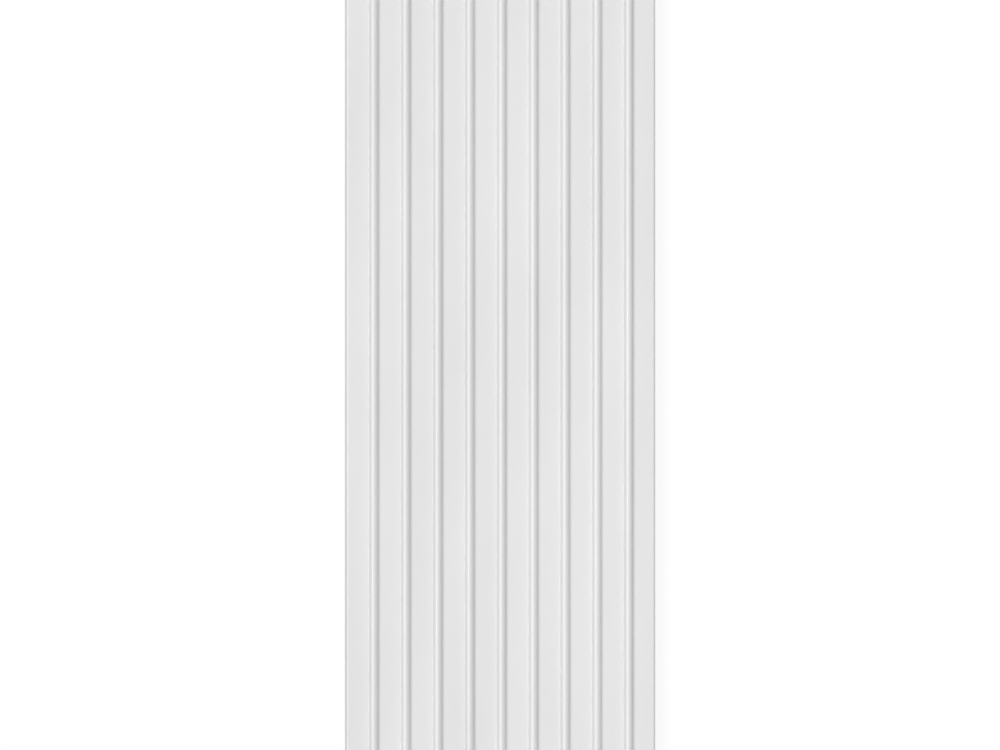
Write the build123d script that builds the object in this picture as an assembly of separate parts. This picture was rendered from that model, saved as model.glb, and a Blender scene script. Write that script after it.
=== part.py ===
from build123d import *
import os

# Decorative wall slat: one extruded board with a row of slim raised ribs along its face.
# It lies on its back. X runs across it, Y along it, and Z up, out of the ribbed face.
# The origin is in the middle of the back face. All sizes are in millimetres.

# Board
LENGTH = 2700.0
BASE_THICKNESS = 9.6
FACE_EDGE_RADIUS = 1.0

# Ribs: low round beads, each on two short walls that lean in a little from its foot
RIB_COUNT = 9
RIB_FOOT_WIDTH = 3.4
RIB_HEIGHT = 2.4
RIB_TIP_RADIUS = 1.65
RIB_FOOT_RADIUS = 0.3

# Flat field between two ribs, and between an outer rib and the long edge of the board
FIELD_WIDTH = 8.94

rib_pitch = RIB_FOOT_WIDTH + FIELD_WIDTH
board_width = RIB_COUNT * rib_pitch + FIELD_WIDTH


def rib_section():
    """One rib in section, standing on y = 0: the hull of its foot and of the circle of its tip."""
    with BuildSketch() as rib:
        with BuildLine():
            Line((-RIB_FOOT_WIDTH / 2, 0), (RIB_FOOT_WIDTH / 2, 0))
            CenterArc((0, RIB_HEIGHT - RIB_TIP_RADIUS), RIB_TIP_RADIUS, 0, 360)
        make_hull()
    return rib.sketch


def face_corners(section):
    """The corners of a section at the level of the fields, in order across the board."""
    back_corners, corners = section.vertices().group_by(Axis.Y)[:2]
    return corners.sort_by(Axis.X)


def slat_section():
    """The whole board in section: the base, its row of ribs, and the rounded corners of both."""
    with BuildSketch(Plane.XZ) as section:
        Rectangle(board_width, BASE_THICKNESS, align=(Align.CENTER, Align.MIN))
        with Locations((0, BASE_THICKNESS)):
            with GridLocations(rib_pitch, 0, RIB_COUNT, 1):
                add(rib_section())

        # Every corner between the two long edges is the foot of a rib
        left_edge, *rib_feet, right_edge = face_corners(section)
        fillet(rib_feet, RIB_FOOT_RADIUS)

        # The fillets made the corners anew, so the long edges are picked again
        left_edge, *rib_feet, right_edge = face_corners(section)
        fillet([left_edge, right_edge], FACE_EDGE_RADIUS)
    return section.sketch


wall_slat = extrude(slat_section(), amount=LENGTH / 2, both=True)
wall_slat.label = "wall_slat"

os.makedirs("parts", exist_ok=True)
export_step(wall_slat, "parts/wall_slat.step")
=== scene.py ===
# %% [markdown]
# # A ribbed wall slat in white polymer
# The real thing is one piece of stock: a long white board, pushed through a die, with nine slim ribs along
# its face. Here it lies on its back and the camera looks down on it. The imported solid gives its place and
# its size. This lesson gives it a fine surface, a finish, a floor and light.

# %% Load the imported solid
import math

import bpy
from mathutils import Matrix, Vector


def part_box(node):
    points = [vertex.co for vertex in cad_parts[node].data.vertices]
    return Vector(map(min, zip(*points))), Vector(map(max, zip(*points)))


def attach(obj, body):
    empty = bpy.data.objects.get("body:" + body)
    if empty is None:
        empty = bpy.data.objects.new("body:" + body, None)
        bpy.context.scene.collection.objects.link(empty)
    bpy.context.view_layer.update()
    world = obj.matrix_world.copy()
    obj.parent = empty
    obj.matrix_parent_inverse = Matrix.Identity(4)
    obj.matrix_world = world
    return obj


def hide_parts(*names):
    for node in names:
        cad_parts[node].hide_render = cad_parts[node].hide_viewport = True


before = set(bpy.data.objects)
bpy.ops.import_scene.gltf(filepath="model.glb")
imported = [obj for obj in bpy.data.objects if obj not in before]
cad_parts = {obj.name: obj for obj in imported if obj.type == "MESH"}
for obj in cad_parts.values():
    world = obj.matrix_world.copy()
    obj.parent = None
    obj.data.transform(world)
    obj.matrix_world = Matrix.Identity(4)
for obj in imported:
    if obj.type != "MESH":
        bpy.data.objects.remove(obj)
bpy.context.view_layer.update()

# %% [markdown]
# ## Sizes
# Length, width and height are read from the solid, so the board fits it whatever its size. A box says
# nothing about the ribs. Their section is written here once more, and the rest follows from it: ten equal
# fields share the width that the ribs leave over.

# %% Sizes of the board and of one rib
MM = 0.001
board_low, board_high = (Vector(corner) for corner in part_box("wall_slat"))
board_width, board_length, board_height = board_high - board_low

RIB_COUNT = 9
RIB_FOOT_WIDTH = 3.4 * MM
RIB_HEIGHT = 2.4 * MM
RIB_TIP_RADIUS = 1.65 * MM
RIB_FOOT_RADIUS = 0.3 * MM
FACE_EDGE_RADIUS = 1.0 * MM

base_thickness = board_height - RIB_HEIGHT
field_width = (board_width - RIB_COUNT * RIB_FOOT_WIDTH) / (RIB_COUNT + 1)
rib_pitch = RIB_FOOT_WIDTH + field_width
print(f"rib pitch {rib_pitch / MM:.2f} mm, field {field_width / MM:.2f} mm,",
      f"base {base_thickness / MM:.2f} mm")

# %% [markdown]
# The walls of a rib lean in a little, so that the warm board slips through the die, and both run into the
# round tip. The tree below rounds corners, so it wants the corner where a wall would meet a flat top. The
# lean is the angle of the line from the foot that just touches the circle of the tip.

# %% Where the leaning walls of a rib would meet a flat top
tip_centre = RIB_HEIGHT - RIB_TIP_RADIUS
foot_to_centre = math.hypot(RIB_FOOT_WIDTH / 2, tip_centre)
wall_lean = math.atan2(-tip_centre, RIB_FOOT_WIDTH / 2) + math.acos(RIB_TIP_RADIUS / foot_to_centre)
tip_corner = RIB_TIP_RADIUS * math.tan(math.pi / 4 - wall_lean / 2)
print(f"the walls lean {math.degrees(wall_lean):.1f} degrees",
      f"and meet the top {tip_corner / MM:.2f} mm off centre")

# %% [markdown]
# ## The board as a rule
# A die gives every millimetre of the board the same section, and the section is one rib repeated. That is a
# rule, so Geometry Nodes follow it. The corners of the section stand in order as points, each point has its
# own radius, and the rounded outline is pushed along a straight path as the polymer is pushed through the
# die.

# %% Helpers for node trees
def add_node(tree, kind, inputs=(), **settings):
    """Adds a node. inputs pairs a socket's name or place with a value or with another node's output."""
    node = tree.nodes.new(kind)
    for name, value in settings.items():
        setattr(node, name, value)
    for key, value in dict(inputs).items():
        if isinstance(value, bpy.types.NodeSocket):
            tree.links.new(value, node.inputs[key])
        else:
            node.inputs[key].default_value = value
    return node


def calculate(tree, operation, *values):
    """The output of one Math node."""
    return add_node(tree, "ShaderNodeMath", dict(enumerate(values)), operation=operation).outputs[0]


def vector(tree, x=0.0, y=0.0, z=0.0):
    """The output of one Combine XYZ node."""
    return add_node(tree, "ShaderNodeCombineXYZ", {"X": x, "Y": y, "Z": z}).outputs[0]


def choose(tree, index, vectors):
    """Picks one of the vectors by its number."""
    node = add_node(tree, "GeometryNodeIndexSwitch", data_type="VECTOR")
    while len(node.index_switch_items) < len(vectors):
        node.index_switch_items.new()
    tree.links.new(index, node.inputs["Index"])
    for number, value in enumerate(vectors, 1):
        tree.links.new(value, node.inputs[number])
    return node.outputs[0]


# %% [markdown]
# Each half of the base has four points: the back corner, the face corner, and a guard beside the face
# corner on either side. A guard is a point on a flat, close to where the rounding ends. It holds the smooth
# shading inside the rounding, so that the flat stays flat to the eye. One vector carries a corner's
# distance from the middle, its level and its radius.

# %% Corners of the base
def base_corners(tree, sizes, number):
    """Corner of half the base, counted from the back corner towards the ribs."""
    half = calculate(tree, "MULTIPLY", sizes["Width"], 0.5)
    face = sizes["Base Thickness"]
    guard = calculate(tree, "ADD", sizes["Edge Radius"], sizes["Guard"])
    return choose(tree, number, [
        vector(tree, half, 0.0, 0.0),
        vector(tree, half, calculate(tree, "SUBTRACT", face, guard), 0.0),
        vector(tree, half, face, sizes["Edge Radius"]),
        vector(tree, calculate(tree, "SUBTRACT", half, guard), face, 0.0),
    ])


# %% [markdown]
# Each half of a rib has three points: the corner of the tip, the corner at the foot, and a guard on the
# field. Only the tip and the foot have a radius.

# %% Corners of a rib
def rib_corners(tree, sizes, number):
    """Corner of half a rib, counted from the tip towards the field."""
    half = calculate(tree, "MULTIPLY", sizes["Rib Foot Width"], 0.5)
    face = sizes["Base Thickness"]
    top = calculate(tree, "ADD", face, sizes["Rib Height"])
    guard = calculate(tree, "ADD", sizes["Foot Radius"], sizes["Guard"])
    return choose(tree, number, [
        vector(tree, sizes["Tip Corner"], top, sizes["Tip Radius"]),
        vector(tree, half, face, sizes["Foot Radius"]),
        vector(tree, calculate(tree, "ADD", half, guard), face, 0.0),
    ])


# %% [markdown]
# The outline starts at the back corner on the right, climbs the edge, passes the ribs from right to left
# and comes down on the left. In that order it turns anticlockwise, and the faces of the board will look
# outwards. The first and the last four points are the base. All others belong to ribs, six to each.

# %% The outline of the section
BASE_POINTS = 4
RIB_POINTS = 6


def section_outline(tree, sizes):
    """Closed curve round the section, with X across the board and Y as its level."""
    index = tree.nodes.new("GeometryNodeInputIndex").outputs[0]
    rib_points = calculate(tree, "MULTIPLY", sizes["Rib Count"], RIB_POINTS)
    total = calculate(tree, "ADD", rib_points, 2 * BASE_POINTS)

    to_the_end = calculate(tree, "SUBTRACT", calculate(tree, "SUBTRACT", total, 1), index)
    from_back = calculate(tree, "MINIMUM", index, to_the_end)
    base_side = calculate(tree, "SIGN", calculate(tree, "SUBTRACT", to_the_end, index))
    base = add_node(tree, "ShaderNodeSeparateXYZ", {0: base_corners(tree, sizes, from_back)}).outputs

    rib_index = calculate(tree, "SUBTRACT", index, BASE_POINTS)
    rib_number = calculate(tree, "FLOOR", calculate(tree, "DIVIDE", rib_index, RIB_POINTS))
    rib_middle = calculate(tree, "DIVIDE", calculate(tree, "SUBTRACT", sizes["Rib Count"], 1), 2)
    ribs_from_middle = calculate(tree, "SUBTRACT", rib_middle, rib_number)
    rib_place = calculate(tree, "MULTIPLY", ribs_from_middle, sizes["Rib Pitch"])

    # Steps from the crest are 0.5, 1.5 and 2.5 to either side, and the switch takes the whole part
    point_of_rib = calculate(tree, "MODULO", rib_index, RIB_POINTS)
    rib_step = calculate(tree, "SUBTRACT", (RIB_POINTS - 1) / 2, point_of_rib)
    from_crest = calculate(tree, "ABSOLUTE", rib_step)
    rib = add_node(tree, "ShaderNodeSeparateXYZ", {0: rib_corners(tree, sizes, from_crest)}).outputs

    base_across = calculate(tree, "MULTIPLY", base_side, base["X"])
    rib_across = calculate(tree, "MULTIPLY_ADD", calculate(tree, "SIGN", rib_step), rib["X"], rib_place)
    on_base = calculate(tree, "LESS_THAN", from_back, BASE_POINTS)

    def pick(rib_value, base_value):
        return add_node(tree, "GeometryNodeSwitch", {
            "Switch": on_base, "False": rib_value, "True": base_value}, input_type="FLOAT").outputs[0]

    place = vector(tree, pick(rib_across, base_across), pick(rib["Y"], base["Y"]))
    points = add_node(tree, "GeometryNodePoints", {"Count": total})
    outline = add_node(tree, "GeometryNodePointsToCurves", {"Points": points.outputs[0]})
    placed = add_node(tree, "GeometryNodeSetPosition", {"Geometry": outline.outputs[0], "Position": place})
    closed = add_node(tree, "GeometryNodeSetSplineCyclic", {"Geometry": placed.outputs[0], "Cyclic": True})
    rounded = add_node(tree, "GeometryNodeFilletCurve", {
        "Curve": closed.outputs[0], "Count": sizes["Arc Steps"], "Radius": pick(rib["Z"], base["Z"]),
        "Limit Radius": True}, mode="POLY")
    return rounded.outputs[0]


# %% [markdown]
# The outline also notes how far round it each point lies. The note travels along into the mesh and later
# lays the surface out flat. A second note marks the two ends, because a saw leaves another surface than a
# die. A face counts as looking along an axis when more than half of its normal points there.

# %% Notes that travel with the mesh
FACING = 0.5


def keep_note(tree, geometry, name, value, domain):
    """Stores a number on every point or face under a name of its own."""
    return add_node(tree, "GeometryNodeStoreNamedAttribute", {
        "Geometry": geometry, "Name": name, "Value": value}, data_type="FLOAT", domain=domain).outputs[0]


def on_the_ends(tree):
    """One where a face looks along the board, else zero."""
    normal = tree.nodes.new("GeometryNodeInputNormal").outputs[0]
    along = add_node(tree, "ShaderNodeSeparateXYZ", {0: normal}).outputs["Y"]
    return calculate(tree, "GREATER_THAN", calculate(tree, "ABSOLUTE", along), FACING)


# %% [markdown]
# Now the tree itself. Two tip corners meet at the crest of each rib and leave two points in one place, so
# the mesh is merged. Shading is smooth except where faces meet at a square corner.

# %% The whole tree
BOARD_SOCKETS = {
    "Length": "Float", "Width": "Float", "Base Thickness": "Float", "Edge Radius": "Float",
    "Rib Count": "Int", "Rib Pitch": "Float", "Rib Foot Width": "Float", "Rib Height": "Float",
    "Tip Corner": "Float", "Tip Radius": "Float", "Foot Radius": "Float", "Guard": "Float",
    "Arc Steps": "Int", "Length Steps": "Int", "Material": "Material",
}
SAME_PLACE = 0.001 * MM
SQUARE_CORNER = math.radians(40)
QUARTER_TURN = math.pi / 2


def ribbed_board_tree():
    tree = bpy.data.node_groups.new("ribbed_board", "GeometryNodeTree")
    for name, kind in BOARD_SOCKETS.items():
        tree.interface.new_socket(name, in_out="INPUT", socket_type="NodeSocket" + kind)
    tree.interface.new_socket("Geometry", in_out="OUTPUT", socket_type="NodeSocketGeometry")
    sizes = tree.nodes.new("NodeGroupInput").outputs

    # The section, with its note of the way round
    way_round = tree.nodes.new("GeometryNodeSplineParameter").outputs["Length"]
    section = keep_note(tree, section_outline(tree, sizes), "around", way_round, "POINT")

    # The straight path, then the push along it, then a turn that lays the board along Y
    half_length = calculate(tree, "MULTIPLY", sizes["Length"], 0.5)
    path = add_node(tree, "GeometryNodeCurvePrimitiveLine", {
        "Start": vector(tree, z=calculate(tree, "MULTIPLY", half_length, -1.0)),
        "End": vector(tree, z=half_length)})
    steps = add_node(tree, "GeometryNodeResampleCurve", {
        "Curve": path.outputs[0], "Count": calculate(tree, "ADD", sizes["Length Steps"], 1)})
    pushed = add_node(tree, "GeometryNodeCurveToMesh", {
        "Curve": steps.outputs[0], "Profile Curve": section, "Fill Caps": True})
    merged = add_node(tree, "GeometryNodeMergeByDistance", {
        "Geometry": pushed.outputs[0], "Distance": SAME_PLACE})
    laid = add_node(tree, "GeometryNodeTransform", {
        "Geometry": merged.outputs[0], "Rotation": (QUARTER_TURN, 0, 0)})
    noted = keep_note(tree, laid.outputs[0], "saw_cut", on_the_ends(tree), "FACE")

    # Shading
    smooth = add_node(tree, "GeometryNodeSetShadeSmooth", {
        "Geometry": noted, "Shade Smooth": True}, domain="FACE")
    angle = tree.nodes.new("GeometryNodeInputMeshEdgeAngle").outputs["Unsigned Angle"]
    crisp = add_node(tree, "GeometryNodeSetShadeSmooth", {
        "Geometry": smooth.outputs[0], "Selection": calculate(tree, "GREATER_THAN", angle, SQUARE_CORNER),
        "Shade Smooth": False}, domain="EDGE")

    whole = add_node(tree, "GeometryNodeRealizeInstances", {"Geometry": crisp.outputs[0]})
    finished = add_node(tree, "GeometryNodeSetMaterial", {
        "Geometry": whole.outputs[0], "Material": sizes["Material"]})
    add_node(tree, "NodeGroupOutput", {"Geometry": finished.outputs[0]})
    return tree


# %% [markdown]
# ## The finish
# The board is taken to be foamed white polymer, coloured right through, and the die leaves it satin. In the
# picture it is a neutral white with no tint. A real extrusion is never quite even: the white clouds a little
# every few centimetres, the die draws faint lines along the board, and the skin has a shallow orange peel.
# All of it stays at the edge of what the eye sees. Noise does it, read from object coordinates, so the
# finish keeps its size in millimetres.

# %% Noise in millimetres
def noise(tree, size, detail=1.0):
    """Soft noise from zero to one. size is the breadth of a patch along X, Y and Z."""
    place = tree.nodes.new("ShaderNodeTexCoord").outputs["Object"]
    scale = tuple(1 / side for side in size)
    scaled = add_node(tree, "ShaderNodeMapping", {"Vector": place, "Scale": scale})
    return add_node(tree, "ShaderNodeTexNoise", {
        "Vector": scaled.outputs[0], "Scale": 1.0, "Detail": detail}).outputs["Fac"]


def between(tree, value, low, high):
    """Maps zero to low and one to high."""
    return add_node(tree, "ShaderNodeMapRange", {
        "Value": value, "To Min": low, "To Max": high}).outputs[0]


def blend(tree, share, first, second):
    """first where share is zero and second where it is one."""
    return add_node(tree, "ShaderNodeMix", {
        0: share, 2: first, 3: second}, data_type="FLOAT").outputs[0]


# %% [markdown]
# The saw opens the fine cells of the foam, so the two ends are matt, a little greyer and rough to the touch.
# Their colour also darkens where the cell bump is low, which is painted shade in the pits. The note that the
# tree left on the end faces tells the material where that is. The gloss is set above that of plain plastic,
# which is 0.5. With the broad lamps below, that gives the ribs their bright shoulders. Depths are in
# millimetres.

# %% Satin white polymer
CLOUD_SIZE = (24 * MM, 80 * MM, 24 * MM)
DIE_LINE_SIZE = (2.6 * MM, 700 * MM, 2.6 * MM)
PEEL_SIZE = (3.5 * MM, 5.0 * MM, 3.5 * MM)
CELL_SIZE = (0.6 * MM, 0.6 * MM, 0.6 * MM)

SKIN_WHITE = (0.81, 0.914)
SAWN_WHITE_AND_PIT_SHADE = (0.74, 0.86)
SKIN_ROUGHNESS = (0.30, 0.38)
SAWN_ROUGHNESS = 0.8
GLOSS = 0.9

DIE_LINE_DEPTH = 0.010
PEEL_DEPTH = 0.006
CELL_DEPTH = 0.15


def satin_white_polymer():
    material = bpy.data.materials.new("satin_white_polymer")
    material.use_nodes = True
    tree = material.node_tree
    shader = tree.nodes["Principled BSDF"]
    sawn = add_node(tree, "ShaderNodeAttribute", attribute_name="saw_cut").outputs["Fac"]

    clouds = noise(tree, CLOUD_SIZE, detail=2.0)
    die_lines = noise(tree, DIE_LINE_SIZE, detail=2.0)
    peel = noise(tree, PEEL_SIZE)
    cells = noise(tree, CELL_SIZE, detail=3.0)

    # On the sawn ends the white follows the same cell noise as the bump, so the pits carry painted shade.
    white = blend(tree, sawn, between(tree, clouds, *SKIN_WHITE), between(tree, cells, *SAWN_WHITE_AND_PIT_SHADE))
    colour = add_node(tree, "ShaderNodeCombineColor", {"Red": white, "Green": white, "Blue": white})
    tree.links.new(colour.outputs[0], shader.inputs["Base Color"])
    roughness = blend(tree, sawn, between(tree, die_lines, *SKIN_ROUGHNESS), SAWN_ROUGHNESS)
    tree.links.new(roughness, shader.inputs["Roughness"])
    shader.inputs["Specular IOR Level"].default_value = GLOSS

    peel_height = calculate(tree, "MULTIPLY", peel, PEEL_DEPTH)
    skin_height = calculate(tree, "MULTIPLY_ADD", die_lines, DIE_LINE_DEPTH, peel_height)
    height = blend(tree, sawn, skin_height, calculate(tree, "MULTIPLY", cells, CELL_DEPTH))
    bump = add_node(tree, "ShaderNodeBump", {"Height": height, "Strength": 1.0, "Distance": MM})
    tree.links.new(bump.outputs[0], shader.inputs["Normal"])
    return material


polymer = satin_white_polymer()
print("finish:", polymer.name, "with", len(polymer.node_tree.nodes), "nodes")

# %% [markdown]
# ## From rule to mesh
# The tree gets its sizes by the sockets' identifiers, and what it makes is copied into a plain mesh. Only
# the plain mesh goes on, and the object that carried the tree is removed.

# %% Bake the tree
BOARD_VALUES = {
    "Length": board_length, "Width": board_width,
    "Base Thickness": base_thickness, "Edge Radius": FACE_EDGE_RADIUS,
    "Rib Count": RIB_COUNT, "Rib Pitch": rib_pitch,
    "Rib Foot Width": RIB_FOOT_WIDTH, "Rib Height": RIB_HEIGHT,
    "Tip Corner": tip_corner, "Tip Radius": RIB_TIP_RADIUS,
    "Foot Radius": RIB_FOOT_RADIUS, "Guard": 0.1 * MM,
    "Arc Steps": 12, "Length Steps": 60, "Material": polymer,
}


def plain_piece(name, tree, values):
    """Runs a tree once and keeps what it makes as an ordinary object."""
    holder = bpy.data.objects.new(name + "_rule", bpy.data.meshes.new(name + "_rule"))
    bpy.context.scene.collection.objects.link(holder)
    modifier = holder.modifiers.new("rule", "NODES")
    modifier.node_group = tree
    for item in tree.interface.items_tree:
        if item.in_out == "INPUT":
            modifier[item.identifier] = values[item.name]
    evaluated = holder.evaluated_get(bpy.context.evaluated_depsgraph_get())
    mesh = bpy.data.meshes.new_from_object(evaluated)
    mesh.name = name
    bpy.data.objects.remove(holder)
    piece = bpy.data.objects.new(name, mesh)
    bpy.context.scene.collection.objects.link(piece)
    return piece


slat = plain_piece("ribbed_slat", ribbed_board_tree(), BOARD_VALUES)
slat.data.calc_loop_triangles()
print("slat:", len(slat.data.vertices), "vertices,", len(slat.data.loop_triangles), "triangles, materials",
      [material.name for material in slat.data.materials])

# %% [markdown]
# ## Laying the surface out flat
# A finish that is baked into pictures needs a map for them. The surface unrolls without
# stretch: the way round the section runs across the map and the length of the board runs up it. One strip
# would be far too long and narrow, so it is cut in three, and the three lie side by side. Both ends go above
# them.

# %% Unroll the board
def unroll(mesh, columns, gap):
    """Writes the map named OFBake, and returns the side of its square in metres."""
    around = [note.value for note in mesh.attributes["around"].data]
    perimeter = max(around) + board_width
    column_length = board_length / columns
    side = max(columns * (perimeter + gap) + gap, column_length + board_height + 3 * gap)
    layer = mesh.uv_layers.new(name="OFBake")
    for face in mesh.polygons:
        cut = abs(face.normal.y) > FACING
        back = face.normal.z < -FACING
        column = int((face.center.y + board_length / 2) / column_length)
        for loop in face.loop_indices:
            vertex = mesh.loops[loop].vertex_index
            x, y, z = mesh.vertices[vertex].co
            if cut:
                shelf = gap if y < 0 else 2 * gap + board_width
                spot = (shelf + board_width / 2 + x, column_length + 2 * gap + z)
            else:
                way = perimeter if back and x > 0 else around[vertex]
                along = y + board_length / 2 - column * column_length
                spot = (gap + column * (perimeter + gap) + way, gap + along)
            layer.data[loop].uv = (spot[0] / side, spot[1] / side)
    return side


map_side = unroll(slat.data, columns=3, gap=8 * MM)
print(f"map: a square of {map_side:.3f} m holds the whole surface")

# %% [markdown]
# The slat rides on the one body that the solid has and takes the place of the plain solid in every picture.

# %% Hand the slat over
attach(slat, "root")
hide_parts("wall_slat")
print("slat box:", [tuple(round(value, 4) for value in slat.bound_box[corner]) for corner in (0, 6)])

# %% [markdown]
# ## The floor
# The photograph shows pure white all round the board. A floor that only glows would be white too, but the
# board would seem to float. So the floor glows a little and also takes light like paper. Both together come
# to just over white, and where the board shades the paper a faint shadow is left. The glow is only for the
# eye: it counts for rays from the camera and for what gloss or glass would show, and it lights nothing.

# %% White floor
WHITE = (1, 1, 1, 1)
FLOOR_GLOW = 0.85
FLOOR_PAPER = 0.2
FLOOR_HALF = 40.0


def for_the_eye(tree):
    """One for rays that show what lies behind, straight or in gloss or glass. Zero for rays that light."""
    ray = tree.nodes.new("ShaderNodeLightPath").outputs
    mirrored = calculate(tree, "MAXIMUM", ray["Is Glossy Ray"], ray["Is Transmission Ray"])
    return calculate(tree, "MAXIMUM", ray["Is Camera Ray"], mirrored)


def white_floor():
    material = bpy.data.materials.new("white_floor")
    material.use_nodes = True
    tree = material.node_tree
    tree.nodes.clear()
    glow = add_node(tree, "ShaderNodeEmission", {
        "Color": WHITE, "Strength": calculate(tree, "MULTIPLY", for_the_eye(tree), FLOOR_GLOW)})
    paper = add_node(tree, "ShaderNodeBsdfDiffuse", {"Color": (FLOOR_PAPER, FLOOR_PAPER, FLOOR_PAPER, 1)})
    both = add_node(tree, "ShaderNodeAddShader", {0: glow.outputs[0], 1: paper.outputs[0]})
    add_node(tree, "ShaderNodeOutputMaterial", {"Surface": both.outputs[0]})
    return material


floor_corners = [(x * FLOOR_HALF, y * FLOOR_HALF, 0) for x, y in ((-1, -1), (1, -1), (1, 1), (-1, 1))]
floor_mesh = bpy.data.meshes.new("floor")
floor_mesh.from_pydata(floor_corners, [], [(0, 1, 2, 3)])
floor_mesh.materials.append(white_floor())
floor = bpy.data.objects.new("floor", floor_mesh)
bpy.context.scene.collection.objects.link(floor)
print(f"floor: {2 * FLOOR_HALF:.0f} m square")

# %% [markdown]
# ## The camera
# In the picture the two long edges stand upright and parallel, so the camera hangs above the middle of the
# length. It doesn't hang above the middle of the width: the left edge shows a thin strip of the board's
# side, the right edge shows none, and the ribs draw a little closer together to the right. Five degrees to
# the left explain all three. They say little about the distance, and anything from one to two metres would
# do. The camera aims halfway between the two edges, and the lens follows from the 310 pixels that the board
# takes up.

# %% Camera above the board, a little to its left
PICTURE_WIDTH = 1000
BOARD_LEFT = 344.8
BOARD_RIGHT = 655.1
CAMERA_TURN = math.radians(5)
CAMERA_DISTANCE = 1.4
SENSOR = 36.0

turned = Vector((-math.sin(CAMERA_TURN), 0, math.cos(CAMERA_TURN)))
eye = Vector((0, 0, base_thickness)) + CAMERA_DISTANCE * turned
left_angle = math.atan2(board_low.x - eye.x, eye.z)
right_angle = math.atan2(board_high.x - eye.x, eye.z - base_thickness + FACE_EDGE_RADIUS)
half_angle = (right_angle - left_angle) / 2

camera_data = bpy.data.cameras.new("camera")
camera_data.sensor_width = SENSOR
camera_data.lens = SENSOR * (BOARD_RIGHT - BOARD_LEFT) / 2 / PICTURE_WIDTH / math.tan(half_angle)
camera = bpy.data.objects.new("camera", camera_data)
camera.location = eye
camera.rotation_euler = (0, -(left_angle + right_angle) / 2, 0)
bpy.context.scene.collection.objects.link(camera)
bpy.context.scene.camera = camera
print(f"camera: the board fills {math.degrees(2 * half_angle):.2f} degrees of the view",
      f"through a {camera_data.lens:.0f} mm lens")

# %% [markdown]
# ## The light
# The ribs tell where the light stands. Each has a bright left shoulder, a darker right wall with a soft
# shadow at its foot, and a faint dark line at its left foot. So the room is bright all round, a broad key
# stands about a third of a right angle to the left, and a weaker fill hangs almost overhead. Other mixes
# come nearly as close, and this one was picked by trying. A sun lamp with a wide disc is as soft as a big
# light box, and it lights all 2.7 metres of the board evenly.

# %% Soft lamps
def soft_sun(name, comes_from, disc, strength):
    """A sun lamp that shines from a point towards the origin. disc is its breadth in degrees."""
    lamp = bpy.data.lights.new(name, "SUN")
    lamp.angle = math.radians(disc)
    lamp.energy = strength
    sun = bpy.data.objects.new(name, lamp)
    sun.location = comes_from
    sun.rotation_euler = Vector(comes_from).to_track_quat("Z", "Y").to_euler()
    bpy.context.scene.collection.objects.link(sun)
    print(f"{name}: {disc} degrees broad, strength {strength}")


soft_sun("key", comes_from=(-0.62, 0.0, 1.0), disc=26, strength=1.08)
soft_sun("fill", comes_from=(0.176, 0.0, 1.0), disc=30, strength=0.27)

# %% [markdown]
# The bright room is the world. To the eye it is pure white, so that no horizon shows behind the floor and
# the satin skin has white to mirror. Every other ray finds it at the level that lights the board.

# %% The bright room
ROOM_LIGHT = 0.43
ROOM_SEEN = 1.0

world = bpy.data.worlds.new("room")
world.use_nodes = True
room = world.node_tree
background = room.nodes["Background"]
background.inputs["Color"].default_value = WHITE
room_level = between(room, for_the_eye(room), ROOM_LIGHT, ROOM_SEEN)
room.links.new(room_level, background.inputs["Strength"])
bpy.context.scene.world = world
bpy.context.scene.view_settings.view_transform = "Standard"
print(f"room: lights at {ROOM_LIGHT}, seen at {ROOM_SEEN}")
